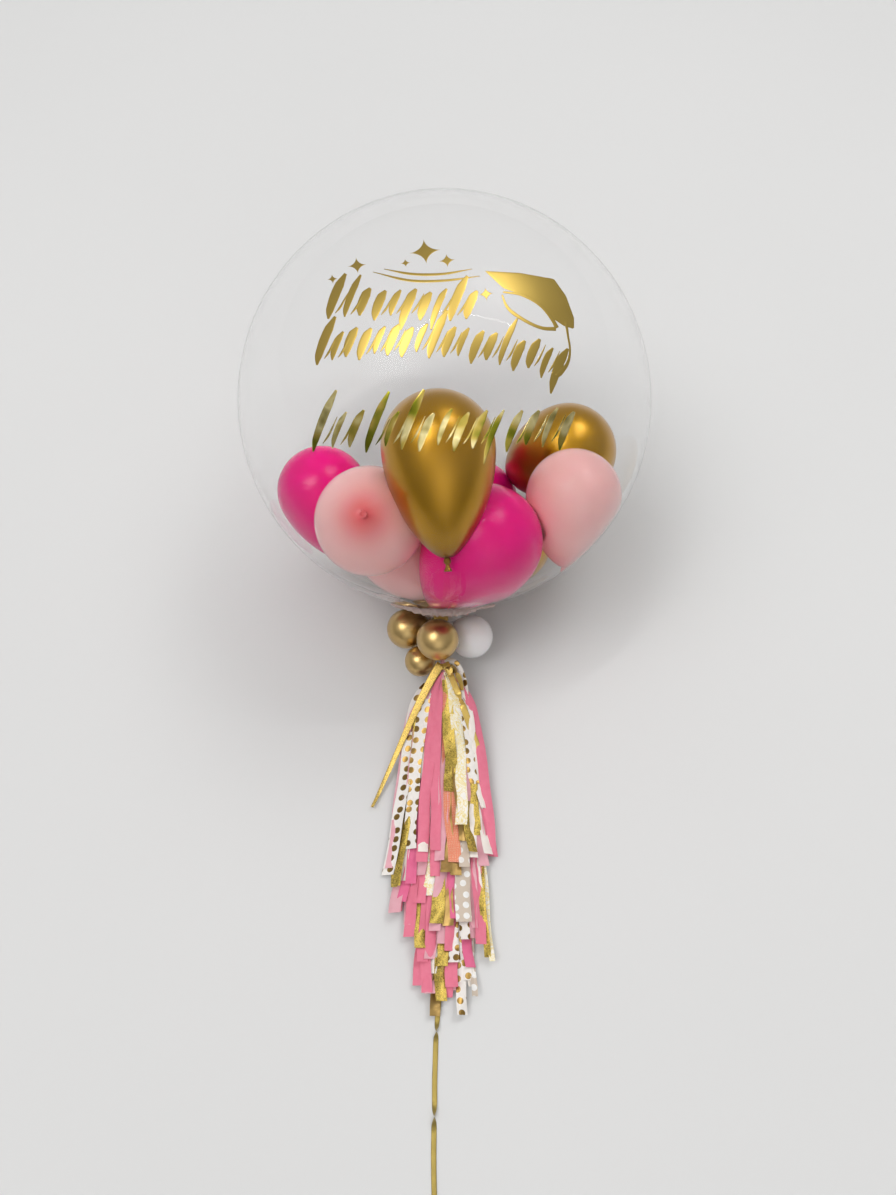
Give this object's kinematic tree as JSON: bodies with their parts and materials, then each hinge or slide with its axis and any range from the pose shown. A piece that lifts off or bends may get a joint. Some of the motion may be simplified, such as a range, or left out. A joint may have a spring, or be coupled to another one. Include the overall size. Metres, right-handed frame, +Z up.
{
  "type": "clear bubble balloon",
  "caption": "Clear bubble balloon with small balloons round its tied neck, a paper-strip tassel and a tether ribbon, lying on its side on a flat spot.",
  "frame": {"origin": "middle of the flat spot that the bubble lies on, on the floor", "axes": "+Z up; the neck, the tassel and the tether ribbon run out along -Y, so +Y is the longest way; +X to the right as seen with the neck towards the viewer"},
  "size_m": [0.4996, 1.175, 0.4971],
  "materials": {
    "clear_film": "clear stretched film, glossy",
    "gold_latex": "metallic gold latex, soft highlights",
    "white_latex": "glossy white latex",
    "tie": "curling ribbon wound tight",
    "pink_paper": "matt tissue strips in pinks, gold and white",
    "rose_paper": "matt tissue strips in pinks, gold and white",
    "cream_paper": "matt tissue and vellum strips",
    "glitter_ribbon": "gold glitter weave",
    "satin_ribbon": "satin gold"
  },
  "bodies": {
    "root": {"bubble": "clear_film", "neck_tie": "tie", "mini_balloon_gold_left": "gold_latex", "mini_balloon_gold_front": "gold_latex", "mini_balloon_gold_small": "gold_latex", "mini_balloon_white_right": "white_latex", "mini_balloon_white_back": "white_latex", "tassel_upper": "pink_paper", "tassel_middle": "rose_paper", "tassel_lower": "cream_paper", "ribbon_tail_satin": "satin_ribbon", "ribbon_tail_glitter": "glitter_ribbon", "tether_ribbon": "satin_ribbon", "tether_loop": "satin_ribbon"}
  },
  "joints": []
}
